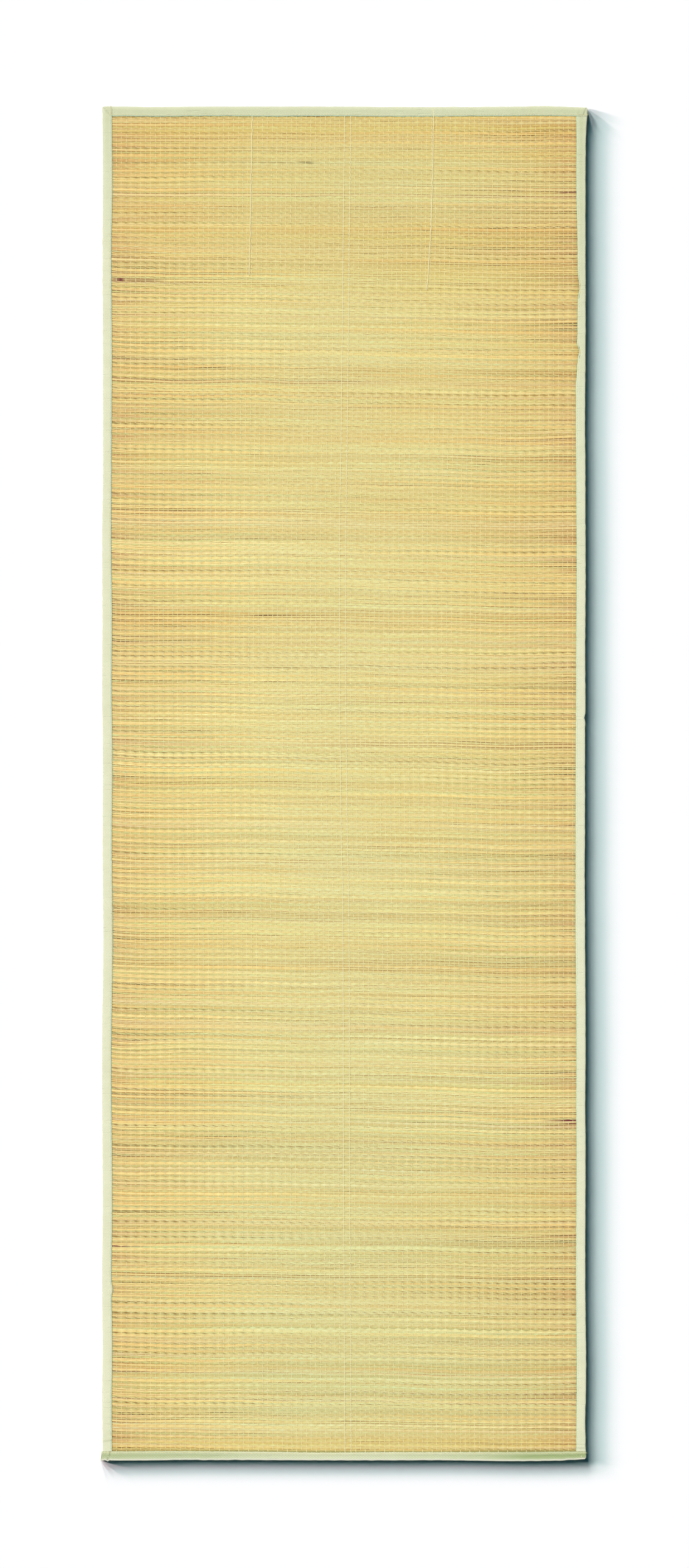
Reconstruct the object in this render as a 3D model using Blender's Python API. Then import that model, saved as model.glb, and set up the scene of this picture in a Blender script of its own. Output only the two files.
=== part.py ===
# A straw beach mat lying flat: one woven straw panel, bound on its four sides with folded cotton tape.
# X runs across the mat, Y along it and Z up. The mat rests on Z = 0.
# The origin is the middle of its footprint.
from collections import namedtuple

import bmesh
import bpy
from mathutils import Matrix

# Driving dimensions, in metres
MAT_LENGTH = 1.700
MAT_WIDTH = 0.606
TAPE_SHOWN = 0.0119
TAPE_CLOTH = 0.0004
BOUND_THICKNESS = 0.0030
STRAW_THICKNESS = 0.0026
FIT_GAP = 0.0003
FOLD_DEPTH = 0.0012
CORNER_ROUNDING = 0.0015
CORNER_FLARE = 0.0011

# The straw is pressed thin inside the tape, and swells to its full thickness past the tape's inner edge
PRESSED_LOW = TAPE_CLOTH + FIT_GAP
PRESSED_HIGH = BOUND_THICKNESS - TAPE_CLOTH - FIT_GAP
SWELL_WIDTH = 0.0025
STRAW_INSET = FOLD_DEPTH + TAPE_CLOTH

SECTION_SPACING = 0.034
CREASE_ANGLE = 0.8
MILLIMETRE = 0.001

# How far the mat's edge and the tape's inner edge lie outside the true rectangle, in millimetres.
# along is the place on the edge in metres, from the middle, towards +X or +Y.
EdgePoint = namedtuple("EdgePoint", "along outer inner")

LEFT_EDGE = [
    EdgePoint(-0.850, 0.8, 0.0),
    EdgePoint(-0.832, -0.4, 0.0),
    EdgePoint(-0.775, 0.5, 0.3),
    EdgePoint(-0.714, -0.2, -0.5),
    EdgePoint(-0.622, 0.5, 0.7),
    EdgePoint(-0.530, -0.2, -0.4),
    EdgePoint(-0.347, 0.7, 0.8),
    EdgePoint(-0.194, -0.9, -0.9),
    EdgePoint(-0.071, 0.0, 0.2),
    EdgePoint(0.020, -0.4, -0.6),
    EdgePoint(0.128, 0.5, 0.4),
    EdgePoint(0.204, 0.1, -0.1),
    EdgePoint(0.311, 0.6, 1.0),
    EdgePoint(0.388, -0.6, 0.6),
    EdgePoint(0.540, -0.4, 0.0),
    EdgePoint(0.663, 0.1, 0.8),
    EdgePoint(0.755, -0.4, -0.6),
    EdgePoint(0.816, -0.2, 0.0),
    EdgePoint(0.850, 0.7, 0.0),
]
RIGHT_EDGE = [
    EdgePoint(-0.850, 0.8, 0.0),
    EdgePoint(-0.832, 0.6, 0.0),
    EdgePoint(-0.806, -0.4, 0.2),
    EdgePoint(-0.745, 0.9, 0.7),
    EdgePoint(-0.622, -0.6, -0.4),
    EdgePoint(-0.470, 0.2, 0.4),
    EdgePoint(-0.316, 0.2, 0.2),
    EdgePoint(-0.163, -0.6, -0.9),
    EdgePoint(-0.041, -0.6, 0.0),
    EdgePoint(0.020, -0.6, -0.7),
    EdgePoint(0.143, -0.4, -0.2),
    EdgePoint(0.265, 0.3, 0.6),
    EdgePoint(0.449, -0.6, -0.5),
    EdgePoint(0.510, -0.2, 0.0),
    EdgePoint(0.541, 0.1, 2.4),
    EdgePoint(0.572, 0.2, 1.4),
    EdgePoint(0.632, 0.2, 2.3),
    EdgePoint(0.693, 0.1, 1.4),
    EdgePoint(0.755, 0.1, 0.0),
    EdgePoint(0.800, 0.3, 0.5),
    EdgePoint(0.832, 1.6, 0.0),
    EdgePoint(0.850, 2.5, 0.0),
]
TOP_EDGE = [
    EdgePoint(-0.303, 0.2, 0.0),
    EdgePoint(-0.290, 0.5, 0.0),
    EdgePoint(-0.248, -0.5, -0.5),
    EdgePoint(-0.172, 0.3, 0.3),
    EdgePoint(-0.034, 0.3, 0.3),
    EdgePoint(0.088, -0.4, -0.4),
    EdgePoint(0.180, -0.2, 0.2),
    EdgePoint(0.241, 0.4, 0.4),
    EdgePoint(0.290, 0.2, 0.0),
    EdgePoint(0.303, 0.2, 0.0),
]
BOTTOM_EDGE = [
    EdgePoint(-0.303, 2.0, 0.0),
    EdgePoint(-0.297, 1.6, 0.0),
    EdgePoint(-0.290, 0.2, 0.0),
    EdgePoint(-0.233, -0.2, -0.5),
    EdgePoint(-0.064, -0.2, 0.4),
    EdgePoint(0.004, -0.2, 0.6),
    EdgePoint(0.149, 0.3, 0.0),
    EdgePoint(0.226, 1.2, 0.6),
    EdgePoint(0.272, 0.8, 0.2),
    EdgePoint(0.290, -0.3, 0.0),
    EdgePoint(0.303, -1.3, 0.0),
]


def edge_shift(edge, along, column):
    """A column of an edge's table at any place, in metres, eased smoothly from row to row."""
    along = min(max(along, edge[0].along), edge[-1].along)
    for low, high in zip(edge, edge[1:]):
        if along <= high.along:
            break
    share = (along - low.along) / (high.along - low.along)
    share = share * share * (3 - 2 * share)
    start, end = getattr(low, column), getattr(high, column)
    return (start + (end - start) * share) * MILLIMETRE


Side = namedtuple("Side", "edge along_y outward half_span")
LEFT = Side(LEFT_EDGE, True, -1, MAT_WIDTH / 2)
RIGHT = Side(RIGHT_EDGE, True, 1, MAT_WIDTH / 2)
TOP = Side(TOP_EDGE, False, 1, MAT_LENGTH / 2)
BOTTOM = Side(BOTTOM_EDGE, False, -1, MAT_LENGTH / 2)


def outer_line(side, along):
    """Distance of the mat's outer edge from the mat's middle line."""
    return side.half_span + edge_shift(side.edge, along, "outer")


def inner_line(side, along):
    """Distance of the tape's inner edge from the mat's middle line."""
    return side.half_span - TAPE_SHOWN + edge_shift(side.edge, along, "inner")


def place(side, along, across, height):
    """A point of a side, given along the edge and outwards from the mat's middle line."""
    if side.along_y:
        return (side.outward * across, along, height)
    return (along, side.outward * across, height)


def spaced(start, end, count):
    """Places from start to end, count equal steps apart."""
    return [start + (end - start) * i / count for i in range(count + 1)]


def add_object(name, mesh_data, material):
    """Turns a bmesh into a named object with its material."""
    bmesh.ops.recalc_face_normals(mesh_data, faces=mesh_data.faces)
    mesh = bpy.data.meshes.new(name)
    mesh_data.to_mesh(mesh)
    mesh_data.free()
    mesh.materials.append(material)
    item = bpy.data.objects.new(name, mesh)
    bpy.context.scene.collection.objects.link(item)
    return item


def cloth_material(name, colour, roughness):
    """A plain, rough, undyed material."""
    material = bpy.data.materials.new(name)
    material.use_nodes = True
    shader = material.node_tree.nodes["Principled BSDF"]
    shader.inputs["Base Color"].default_value = (*colour, 1)
    shader.inputs["Roughness"].default_value = roughness
    shader.inputs["Metallic"].default_value = 0.0
    return material


# The tape's section, from the inner edge of its upper leaf, round the fold, to that of its lower leaf.
# depth is in from the mat's outer edge, as a share of the fold's depth or of the tape's width past the fold.
SectionPoint = namedtuple("SectionPoint", "in_fold depth height")
TAPE_SECTION = [
    SectionPoint(False, 1.0, 1.0),
    SectionPoint(False, 0.45, 1.0),
    SectionPoint(True, 1.0, 1.0),
    SectionPoint(True, 0.3, 0.86),
    SectionPoint(True, 0.0, 0.5),
    SectionPoint(True, 0.3, 0.14),
    SectionPoint(True, 1.0, 0.0),
    SectionPoint(False, 0.45, 0.0),
    SectionPoint(False, 1.0, 0.0),
]

# How a tape ends, from its end inwards: the share of its full height there, and how far its fold draws in.
# An open end meets another tape, and a closed one covers a corner like a pocket.
EndPoint = namedtuple("EndPoint", "from_end height_share rounding")
OPEN_END = [EndPoint(0.0, 1.0, 0.0)]
CLOSED_END = [
    EndPoint(0.0, 0.42, 1.0),
    EndPoint(0.0004, 0.8, 0.32),
    EndPoint(0.0012, 1.0, 0.02),
]


def tape_section(side, along, height_share=1.0, rounding=0.0, flare=0.0):
    """The tape's section at one place. flare shifts its outer edge along the mat."""
    outer = outer_line(side, along) - rounding * CORNER_ROUNDING
    inner = inner_line(side, along)
    fold = outer - FOLD_DEPTH
    middle = BOUND_THICKNESS / 2
    points = []
    for point in TAPE_SECTION:
        if point.in_fold:
            across = outer - point.depth * FOLD_DEPTH
        else:
            across = fold + point.depth * (inner - fold)
        height = middle + (point.height - 0.5) * BOUND_THICKNESS * height_share
        shift = flare * (across - inner) / (outer - inner)
        points.append(place(side, along + shift, across, height))
    return points


def bound_side(name, side, start, end, start_shape, end_shape, material, start_flare=0.0):
    """A folded tape along one side, from start to end."""
    rows = [(start + p.from_end, p.height_share, p.rounding, start_flare) for p in start_shape]
    middle_start, middle_end = start + start_shape[-1].from_end, end - end_shape[-1].from_end
    steps = round((middle_end - middle_start) / SECTION_SPACING)
    rows += [(along, 1.0, 0.0, 0.0) for along in spaced(middle_start, middle_end, steps)[1:-1]]
    rows += [(end - p.from_end, p.height_share, p.rounding, 0.0) for p in reversed(end_shape)]

    mesh_data = bmesh.new()
    sections = []
    for row in rows:
        sections.append([mesh_data.verts.new(point) for point in tape_section(side, *row)])
    for near, far in zip(sections, sections[1:]):
        for i in range(len(TAPE_SECTION) - 1):
            mesh_data.faces.new((near[i], near[i + 1], far[i + 1], far[i]))
    if start_shape is CLOSED_END:
        mesh_data.faces.new(sections[0])
    if end_shape is CLOSED_END:
        mesh_data.faces.new(sections[-1])

    # The upper leaf comes first and faces up. The cloth's thickness goes inwards, towards the straw.
    bmesh.ops.recalc_face_normals(mesh_data, faces=mesh_data.faces)
    mesh_data.faces.ensure_lookup_table()
    if mesh_data.faces[0].normal.z < 0:
        bmesh.ops.reverse_faces(mesh_data, faces=mesh_data.faces)
    bmesh.ops.solidify(mesh_data, geom=mesh_data.faces[:], thickness=TAPE_CLOTH)

    item = add_object(name, mesh_data, material)
    item.data.shade_smooth()
    item.data.set_sharp_from_angle(angle=CREASE_ANGLE)
    return item


# The slab's rings of points, going inwards from the tape's inner edge, and the heights of its two faces there
Ring = namedtuple("Ring", "inside low high")
SWELL_RINGS = [
    Ring(FIT_GAP, PRESSED_LOW, PRESSED_HIGH),
    Ring(FIT_GAP + 0.5 * SWELL_WIDTH, 0.25 * PRESSED_LOW, 0.3 * PRESSED_HIGH + 0.7 * STRAW_THICKNESS),
    Ring(FIT_GAP + SWELL_WIDTH, 0.0, STRAW_THICKNESS),
]


def slab_line(start_side, end_side, cross_at, field_steps):
    """The slab's places along one cut through the mat: rim, rings, field, rings and rim."""
    start_rim = STRAW_INSET - outer_line(start_side, cross_at)
    end_rim = outer_line(end_side, cross_at) - STRAW_INSET
    start_rings = [ring.inside - inner_line(start_side, cross_at) for ring in SWELL_RINGS]
    end_rings = [inner_line(end_side, cross_at) - ring.inside for ring in SWELL_RINGS]
    field = spaced(start_rings[-1], end_rings[-1], field_steps)
    return [start_rim, *start_rings[:-1], *field, *reversed(end_rings[:-1]), end_rim]


def straw_panel(material):
    """The woven straw as one slab, pressed thin at its rim and flat on the floor inside the tapes."""
    column_steps = round(MAT_WIDTH / SECTION_SPACING)
    row_steps = round(MAT_LENGTH / SECTION_SPACING)
    middle_columns = slab_line(LEFT, RIGHT, 0.0, column_steps)
    middle_rows = slab_line(BOTTOM, TOP, 0.0, row_steps)
    last_column, last_row = len(middle_columns) - 1, len(middle_rows) - 1
    heights = [(PRESSED_LOW, PRESSED_HIGH)] + [(ring.low, ring.high) for ring in SWELL_RINGS]

    mesh_data = bmesh.new()
    lower, upper = [], []
    for row, row_y in enumerate(middle_rows):
        lower.append([])
        upper.append([])
        for column, column_x in enumerate(middle_columns):
            x = slab_line(LEFT, RIGHT, row_y, column_steps)[column]
            y = slab_line(BOTTOM, TOP, column_x, row_steps)[row]
            ring = min(row, column, last_row - row, last_column - column, len(SWELL_RINGS))
            low, high = heights[ring]
            lower[-1].append(mesh_data.verts.new((x, y, low)))
            upper[-1].append(mesh_data.verts.new((x, y, high)))
    for row in range(last_row):
        for column in range(last_column):
            for layer in (lower, upper):
                near, far = layer[row], layer[row + 1]
                mesh_data.faces.new((near[column], near[column + 1], far[column + 1], far[column]))

    rim = [(0, column) for column in range(last_column)]
    rim += [(row, last_column) for row in range(last_row)]
    rim += [(last_row, column) for column in range(last_column, 0, -1)]
    rim += [(row, 0) for row in range(last_row, 0, -1)]
    for (r1, c1), (r2, c2) in zip(rim, rim[1:] + rim[:1]):
        mesh_data.faces.new((lower[r1][c1], lower[r2][c2], upper[r2][c2], upper[r1][c1]))
    return add_object("straw_panel", mesh_data, material)


def centre_on_footprint(items):
    """Moves the meshes so that the origin is the middle of the mat's footprint."""
    corners = [vertex.co for item in items for vertex in item.data.vertices]
    middle_x = (min(c.x for c in corners) + max(c.x for c in corners)) / 2
    middle_y = (min(c.y for c in corners) + max(c.y for c in corners)) / 2
    for item in items:
        item.data.transform(Matrix.Translation((-middle_x, -middle_y, 0)))


def build_mat():
    straw = cloth_material("straw", (0.74, 0.62, 0.26), 0.55)
    tape = cloth_material("tape", (0.76, 0.78, 0.54), 0.85)

    half_length, half_width = MAT_LENGTH / 2, MAT_WIDTH / 2
    left_seam = FIT_GAP - inner_line(LEFT, half_length)
    top_seam = inner_line(TOP, half_width) - FIT_GAP
    bottom_seam = FIT_GAP - inner_line(BOTTOM, half_width)
    top_end = outer_line(TOP, -half_width)
    right_end = outer_line(RIGHT, half_length)
    bottom_left_end = -outer_line(LEFT, TAPE_SHOWN - half_length)
    bottom_right_end = outer_line(RIGHT, -half_length)

    items = [
        straw_panel(straw),
        bound_side("binding_left", LEFT, bottom_seam, top_end, OPEN_END, CLOSED_END, tape),
        bound_side("binding_top", TOP, left_seam, right_end, OPEN_END, CLOSED_END, tape),
        bound_side("binding_right", RIGHT, bottom_seam, top_seam, OPEN_END, OPEN_END, tape),
        bound_side(
            "binding_bottom",
            BOTTOM,
            bottom_left_end,
            bottom_right_end,
            CLOSED_END,
            CLOSED_END,
            tape,
            start_flare=-CORNER_FLARE,
        ),
    ]
    centre_on_footprint(items)


for old in list(bpy.data.objects):
    bpy.data.objects.remove(old)
build_mat()
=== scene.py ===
# A straw beach mat lying flat on a pale floor, seen from straight above.
# The straws, warps and stitches are Geometry Nodes; the folded tapes and the loose threads are mesh code.
import math
from types import SimpleNamespace

import bmesh
import bpy
import numpy as np
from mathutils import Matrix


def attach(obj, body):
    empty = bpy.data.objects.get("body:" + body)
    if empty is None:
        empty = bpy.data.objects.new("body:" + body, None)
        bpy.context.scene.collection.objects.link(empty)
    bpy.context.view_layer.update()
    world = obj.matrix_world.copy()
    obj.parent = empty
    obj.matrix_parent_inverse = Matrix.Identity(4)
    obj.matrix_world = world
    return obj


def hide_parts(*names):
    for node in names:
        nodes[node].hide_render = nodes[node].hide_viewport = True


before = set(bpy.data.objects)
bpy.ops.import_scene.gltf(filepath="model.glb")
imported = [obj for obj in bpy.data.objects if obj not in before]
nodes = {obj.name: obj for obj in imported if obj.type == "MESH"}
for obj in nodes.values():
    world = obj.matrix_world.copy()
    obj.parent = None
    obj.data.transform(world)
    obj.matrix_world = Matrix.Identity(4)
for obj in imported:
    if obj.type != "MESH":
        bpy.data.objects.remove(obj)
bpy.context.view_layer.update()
print("frame loaded")


# node graphs

def operator(operation, swapped=False):  # a Math node as one of Python's operators
    def apply(self, other):
        return self.graph.math(operation, *((other, self) if swapped else (self, other)))
    return apply


class Wire:  # one output of a node; Python's operators on it add Math nodes
    def __init__(self, graph, socket):
        self.graph, self.socket = graph, socket

    def sibling(self, name):  # another output of the same node
        return Wire(self.graph, self.socket.node.outputs[name])

    def __neg__(self):
        return 0 - self

    def __abs__(self):
        return self.graph.math("ABSOLUTE", self)

    __add__ = __radd__ = operator("ADD")
    __sub__ = operator("SUBTRACT")
    __rsub__ = operator("SUBTRACT", swapped=True)
    __mul__ = __rmul__ = operator("MULTIPLY")
    __truediv__ = operator("DIVIDE")
    __pow__ = operator("POWER")
    __mod__ = operator("FLOORED_MODULO")
    __lt__ = operator("LESS_THAN")
    __gt__ = operator("GREATER_THAN")


class Graph:  # a node tree of a material or of Geometry Nodes
    def __init__(self, tree):
        self.tree = tree

    def add(self, kind, sockets=None, out=0, **settings):
        node = self.tree.nodes.new(kind)
        for name, value in settings.items():
            if name == "curve":
                self.setCurve(node.mapping, value)
            else:
                setattr(node, name, value)
        for name, value in (sockets or {}).items():
            if isinstance(value, Wire):
                self.tree.links.new(value.socket, node.inputs[name])
            else:
                node.inputs[name].default_value = value
        return Wire(self, node.outputs[out]) if node.outputs else node

    def setCurve(self, mapping, points):
        dots = mapping.curves[0].points
        while len(dots) < len(points):
            dots.new(0.5, 0.5)
        for dot, (x, y) in zip(dots, points):
            dot.location = (x, y)
        mapping.update()

    def math(self, operation, *values):
        return self.add("ShaderNodeMath", dict(enumerate(values)), operation=operation)

    def clamp(self, value):
        return self.add("ShaderNodeMath", {0: value, 1: 0.0}, operation="ADD", use_clamp=True)

    def ease(self, value, low, high):  # 0 below low, 1 above high, smooth between
        sockets = {"Value": value, "From Min": low, "From Max": high}
        return self.add("ShaderNodeMapRange", sockets, interpolation_type="SMOOTHSTEP")

    def combine(self, x, y, z):
        return self.add("ShaderNodeCombineXYZ", {0: x, 1: y, 2: z})

    def split(self, vector):
        x = self.add("ShaderNodeSeparateXYZ", {0: vector})
        return x, x.sibling("Y"), x.sibling("Z")

    def blend(self, factor, first, second, how="MIX"):  # colours
        sockets = {0: factor, 6: first, 7: second}
        return self.add("ShaderNodeMix", sockets, out=2, data_type="RGBA", blend_type=how)

    def follow(self, value, table):  # a smooth line through a table of (place, height)
        places, heights = zip(*table)
        low, high = min(heights), max(heights)
        start, length = places[0], places[-1] - places[0]
        points = [((p - start) / length, (h - low) / (high - low)) for p, h in table]
        share = self.add("ShaderNodeFloatCurve", {"Value": (value - start) / length}, curve=points)
        return share * (high - low) + low

    def noise(self, vector, scale=1.0, detail=1.0):
        return self.add("ShaderNodeTexNoise", {"Vector": vector, "Scale": scale, "Detail": detail})


def colour(red, green, blue):  # a screen colour of 0 to 255 as light
    shares = [c / 255 for c in (red, green, blue)]
    return (*(s / 12.92 if s <= 0.04045 else ((s + 0.055) / 1.055) ** 2.4 for s in shares), 1)


def vertexSpots(mesh):
    spots = np.empty(len(mesh.vertices) * 3, np.float32)
    mesh.vertices.foreach_get("co", spots)
    return spots.reshape(-1, 3)


def addObject(name, data):
    item = bpy.data.objects.new(name, data)
    bpy.context.scene.collection.objects.link(item)
    return item


# weave

weave = {
    "picks": 533,  # rows of straw
    "pickPitch": 0.00317,
    "warps": 96,
    "warpPitch": 0.00602,
    "centreGap": 0.0076,  # between the two middle warps
    "halfWidth": 0.2995,  # where the straws end, inside the tapes
    "halfLength": 0.8465,
    "middle": 0.00135,  # height of the weave's middle
    "belowLine": 0.35,  # part of a straw's or thread's height below its own line
}
# metres that a row of straw drops below its place, from -X to +X
rowDrop = [
    (-0.3, -0.0046), (-0.29, -0.0036), (-0.276, -0.0026), (-0.224, -0.0017), (-0.169, -0.0017),
    (-0.114, -0.0014), (-0.059, -0.0004), (-0.004, 0), (0.051, 0.0012), (0.106, 0.0018), (0.161, 0.0032),
    (0.216, 0.0044), (0.271, 0.0041), (0.3, 0.0038),
]
# the part of that drop that a row has, from -Y to +Y
dropShare = [
    (-0.85, 0.7), (-0.732, 0.8), (-0.589, 0.6), (-0.424, 1.25), (-0.259, 1.15), (-0.094, 1.1),
    (0.071, 0.95), (0.236, 0.95), (0.401, 0.8), (0.566, 1), (0.731, 0.35), (0.85, 0.25),
]
# the part of their slack that the straws take up, from -Y to +Y
slackShare = [
    (-0.85, 1.35), (-0.6, 1.4), (-0.45, 1.25), (-0.35, 0.92), (0, 0.88), (0.35, 0.92), (0.5, 1.05),
    (0.85, 1.05),
]
# metres that the middle warps drift sideways, from -Y to +Y
warpDrift = [
    (-0.85, 0.0046), (-0.698, 0.0038), (-0.468, 0.0027), (-0.239, 0.0023), (-0.01, -0.0008),
    (0.22, -0.0023), (0.45, 0), (0.748, 0.003), (0.85, 0.0042),
]


def geometryGraph(name, sizes):  # a tree with a named input for each size, and its inputs as wires
    tree = bpy.data.node_groups.new(name, "GeometryNodeTree")
    kinds = {int: "NodeSocketInt", float: "NodeSocketFloat"}
    tree.interface.new_socket(name="Geometry", in_out="INPUT", socket_type="NodeSocketGeometry")
    for key, value in sizes.items():
        socket = tree.interface.new_socket(name=key, in_out="INPUT", socket_type=kinds[type(value)])
        socket.default_value = value
    tree.interface.new_socket(name="material", in_out="INPUT", socket_type="NodeSocketMaterial")
    tree.interface.new_socket(name="Geometry", in_out="OUTPUT", socket_type="NodeSocketGeometry")
    graph = Graph(tree)
    first = graph.add("NodeGroupInput")
    wires = {key: first.sibling(key) for key in ["Geometry", *sizes, "material"]}
    return graph, SimpleNamespace(**wires)


def finishTree(graph, geometry, material):
    geometry = graph.add("GeometryNodeSetMaterial", {"Geometry": geometry, "Material": material})
    graph.add("NodeGroupOutput", {"Geometry": geometry})
    return graph.tree


def grow(name, tree, sizes, material, base=None):  # runs a tree once; keeps what it makes as a plain mesh
    holder = addObject(name, base or bpy.data.meshes.new(name))
    modifier = holder.modifiers.new("grow", "NODES")
    modifier.node_group = tree
    values = {**sizes, "material": material}
    for item in tree.interface.items_tree:
        if item.in_out == "INPUT" and item.name in values:
            modifier[item.identifier] = values[item.name]
    state = bpy.context.evaluated_depsgraph_get()
    mesh = bpy.data.meshes.new_from_object(holder.evaluated_get(state), depsgraph=state)
    holder.modifiers.clear()
    holder.data = mesh
    mesh.name = name
    return holder


def named(graph, name):
    return graph.add("GeometryNodeInputNamedAttribute", {"Name": name}, data_type="FLOAT")


def store(graph, geometry, name, value, kind="FLOAT", domain="POINT"):
    sockets = {"Geometry": geometry, "Name": name, "Value": value}
    return graph.add("GeometryNodeStoreNamedAttribute", sockets, data_type=kind, domain=domain)


def chance(graph, number, seed):  # the same 0 to 1 for the same number
    return graph.add("FunctionNodeRandomValue", {"ID": number, "Seed": seed}, out=1, data_type="FLOAT")


def tubes(graph, count, numberName, keep, steps):  # three-sided tubes at the origin, with their numbers
    points = graph.add("GeometryNodeMeshLine", {"Count": count, "Offset": (0, 0, 0)}, mode="OFFSET")
    number = graph.add("GeometryNodeInputIndex")
    points = store(graph, points, numberName, number)
    sockets = {"Geometry": points, "Selection": 1 - keep(number)}
    points = graph.add("GeometryNodeDeleteGeometry", sockets)
    sockets = {"Vertices": 3, "Side Segments": steps, "Radius": 1.0, "Depth": steps}
    tube = graph.add("GeometryNodeMeshCylinder", sockets)
    placed = graph.add("GeometryNodeInstanceOnPoints", {"Points": points, "Instance": tube})
    whole = graph.add("GeometryNodeRealizeInstances", {"Geometry": placed})
    up, across, along = graph.split(graph.add("GeometryNodeInputPosition"))
    # a tube's section is a triangle of radius 1: 0.866 is half its foot, and it stands from -0.5 to 1
    return whole, along + steps * 0.5, across / 0.866, (up + 0.5) / 1.5


def finishTubes(graph, geometry, place, material):  # moves the tubes' points to their places
    geometry = graph.add("GeometryNodeSetPosition", {"Geometry": geometry, "Position": place})
    smooth = "GeometryNodeSetShadeSmooth"  # the ridge smooth, the two lower edges crisp
    geometry = graph.add(smooth, {0: geometry, "Shade Smooth": True}, domain="FACE")
    sockets = {0: geometry, "Selection": abs(named(graph, "edge")) > 0.75, "Shade Smooth": False}
    return finishTree(graph, graph.add(smooth, sockets, domain="EDGE"), material)


def crossingPlace(graph, size, crossing):  # where a warp runs across the mat, before it drifts
    fromMiddle = crossing - (size.warps - 1) * 0.5
    half = graph.math("SIGN", fromMiddle)
    widening = half * (size.centreGap - size.warpPitch) * 0.5
    return fromMiddle, half, fromMiddle * size.warpPitch + widening


def sagging(graph, x, row):  # how far a row lies below its place: its own drop, and a slow wave
    wave = graph.noise(graph.combine(x * 6.5, row * 10, 4.0)) - 0.5
    return graph.follow(x, rowDrop) * graph.follow(row, dropShare) + wave * 0.0055


def drifting(graph, size, x, row):
    share = x / size.halfWidth
    return graph.follow(row, warpDrift) * (1 - share * share)


rim = {  # the rim that the tapes hold
    "side": (0.2905, 0.2955),  # from the mat's middle: where it starts, where it is fully pressed
    "end": (0.8378, 0.8425),
    "rise": 0.00015,
    "thinning": 0.3,
}


def pressed(graph, size, x, y, z):  # thinner where the tape holds the rim
    share = graph.math("MAXIMUM", graph.ease(abs(x), *rim["side"]), graph.ease(abs(y), *rim["end"]))
    return size.middle + rim["rise"] * share + (z - size.middle) * (1 - rim["thinning"] * share)


def within(graph, value, limit):
    return graph.math("MINIMUM", graph.math("MAXIMUM", value, -limit), limit)


# straws

strawSizes = {
    "thickening": 0.36,  # how much wider a pick is at its thick ends than halfway
    "overlap": 0.00012,
    "roundness": 0.32,  # height of a straw for its width
    "lift": 0.00034,  # how far a straw rises and dips between warps
    "ridge": 0.44,  # where a straw's ridge lies on its half of the pick, from the seam outward
    "unevenness": 0.34,  # of the ridge's place
    "slack": 0.00085,  # how far the two straws of a pick bow apart
    "parting": 0.46,  # a ridge past this part of its half leaves a gap at the seam
    "wander": 0.0016,  # sideways, along a straw
    "fan": 0.006,  # how unevenly the rows are spaced beside the tapes
    "stagger": 0.00012,  # in height
    "broadShare": 0.14,  # picks with one broad straw
    "part": 0,
    "parts": 3,
    "seed": 7,
}


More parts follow.
